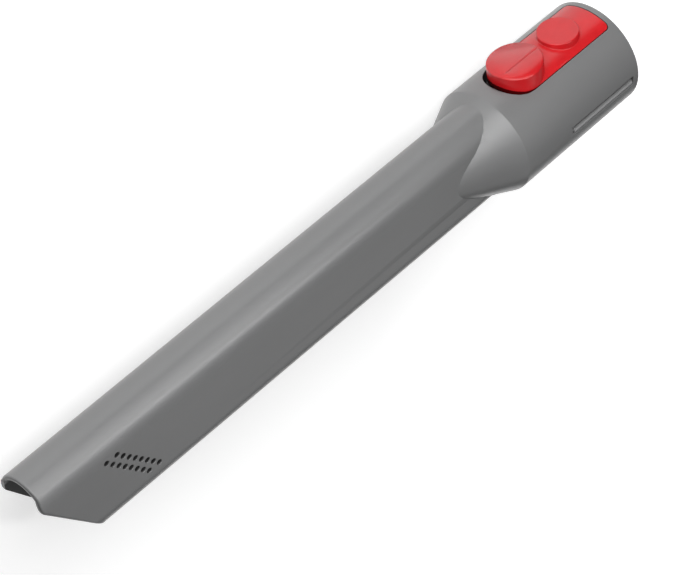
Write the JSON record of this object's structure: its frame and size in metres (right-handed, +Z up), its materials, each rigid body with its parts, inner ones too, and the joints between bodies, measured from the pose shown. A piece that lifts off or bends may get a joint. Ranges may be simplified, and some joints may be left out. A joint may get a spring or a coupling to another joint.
{
  "type": "vacuum crevice tool",
  "caption": "Flat crevice nozzle for a vacuum cleaner, with a slanted mouth, side bleed holes, a round push-on socket and a spring-back release catch.",
  "frame": {"origin": "centre of the socket's mouth, on the collar's axis", "axes": "+X along the tool to the tip, -Y the catch's side, +Z up out of the flat side that faces the camera; the tool lies on its other flat side"},
  "size_m": [0.3064, 0.052, 0.0474],
  "materials": {
    "grey_shell": "fine-grained satin grey moulding",
    "red_catch": "semi-gloss red moulding",
    "spring_wire": "drawn spring wire"
  },
  "bodies": {
    "tool": {"body": "grey_shell", "catch_spring": "spring_wire"},
    "catch": {"release_catch": "red_catch"}
  },
  "joints": [
    {"name": "catch_rock", "type": "hinge", "parent": "tool", "child": "catch", "pos_m": [0.031, -0.017, 0], "axis": [0, 0, 1], "range_deg": [0, 6], "stiffness_Nm_per_rad": 0.33, "springref_deg": -3.61, "deforming": ["catch_spring"]}
  ]
}
